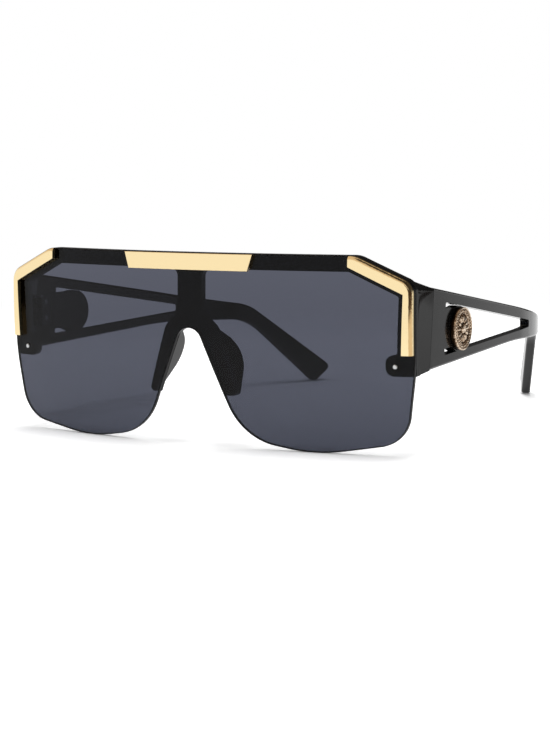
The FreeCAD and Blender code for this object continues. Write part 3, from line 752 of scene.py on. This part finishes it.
mirrored = add_node(world, "ShaderNodeBackground")
join(world, ramp(world, upwards, ceiling_stops), mirrored.inputs["Color"])
join(world, level_for(world, shade, 1.0, 0.0), mirrored.inputs["Strength"])
plain = world.node_tree.nodes["Background"]
plain.inputs["Color"].default_value = (*white, 1)
passing = rays_of(world, "Is Camera Ray", "Is Transmission Ray")
join(world, level_for(world, passing, plain_light, 1.0), plain.inputs["Strength"])
room = mix_shaders(world, mirrored_rays(world), plain.outputs["Background"], mirrored.outputs["Background"])
join(world, room, world.node_tree.nodes["World Output"].inputs["Surface"])
print("plain light", plain_light)

# %% [markdown]
# One large softbox over the table gives the shadows. It stays out of the reflections, because
# the room already gives the gloss all that it mirrors.

# %% The softbox
box_width = 0.5
box_height = 0.9
box_power = 4.0

box_data = bpy.data.lights.new("softbox", "AREA")
box_data.size = box_width
box_data.energy = box_power
softbox = bpy.data.objects.new("softbox", box_data)
softbox.location = (0, 0, box_height)
softbox.visible_glossy = False
scene.collection.objects.link(softbox)
print("softbox", box_power, "W")

# %% [markdown]
# Faces that look sideways mirror what stands on the table beside the glasses. A curved screen
# on the right gives them their shades, as cards do in a studio. It is an upright line, spun
# part of the way round, and its angles are counted from straight in front of the glasses. Only
# mirrored rays see it.

# %% The screen
full_turn = 360
quarter_turn = full_turn / 4
screen_middle = Vector((0.07, -0.03, 0))
screen_radius = 0.15
screen_height = 0.08
screen_steps = 72
screen_start = 3
screen_end = 176

shape = bmesh.new()
start = Matrix.Rotation(math.radians(screen_start - quarter_turn), 3, "Z") @ Vector((screen_radius, 0, 0))
ends = [shape.verts.new(start + Vector((0, 0, height))) for height in (0, screen_height)]
edge = shape.edges.new(ends)
turn = math.radians(screen_end - screen_start)
bmesh.ops.spin(shape, geom=ends + [edge], axis=(0, 0, 1), angle=turn, steps=screen_steps)
screen_mesh = bpy.data.meshes.new("screen")
shape.to_mesh(screen_mesh)
shape.free()
screen = bpy.data.objects.new("screen", screen_mesh)
screen.location = screen_middle
for ray in ("camera", "diffuse", "transmission", "volume_scatter", "shadow"):
    setattr(screen, "visible_" + ray, False)
scene.collection.objects.link(screen)
print("screen faces", len(screen_mesh.polygons))

# %% [markdown]
# The screen's colours go round it by angle: tan for the rolled edge of the gold, white for the
# end piece, a dark strip for the seam behind it and grey for the arm. Its upper part is dark
# where the rolled edge and the top corner of the end piece look. A radial gradient gives
# the angle as a share of a turn, which is a quarter straight in front of the glasses.

# %% The screen's colours
grey = (0.54, 0.54, 0.54)
dark = (0.05, 0.03, 0.02)
low_stops = [
    (3, white), (8, tan), (96, tan), (101, white), (129, white),
    (132, dark), (136, dark), (138.5, grey), (153, grey), (169, white),
]
top_stops = [
    (3, white), (8, dark), (96, dark), (101, white), (123.3, white),
    (125.8, dark), (136, dark), (138.5, grey), (153, grey), (169, white),
]
top_fade = (0.028, 0.037)

screen_card, surface = stage_finish("screen_card")
card_place = object_place(screen_card)
gradient = add_node(screen_card, "ShaderNodeTexGradient", gradient_type="RADIAL")
join(screen_card, card_place, gradient.inputs["Vector"])
blend = add_node(screen_card, "ShaderNodeMix", data_type="RGBA")
sockets = {socket.identifier: socket for socket in (*blend.inputs, *blend.outputs)}
top_share = fade_in(screen_card, part_of_place(screen_card, card_place, "Z"), *top_fade)
join(screen_card, top_share, sockets["Factor_Float"])
for socket, stops in (("A_Color", low_stops), ("B_Color", top_stops)):
    shares = [((quarter_turn + angle) / full_turn, colour) for angle, colour in stops]
    join(screen_card, ramp(screen_card, gradient.outputs["Fac"], shares), sockets[socket])
card = add_node(screen_card, "ShaderNodeEmission")
join(screen_card, sockets["Result_Color"], card.inputs["Color"])
join(screen_card, card.outputs["Emission"], surface)
screen_mesh.materials.append(screen_card)
print("screen colours", len(low_stops), "below and", len(top_stops), "above")

scene.view_settings.view_transform = "Standard"
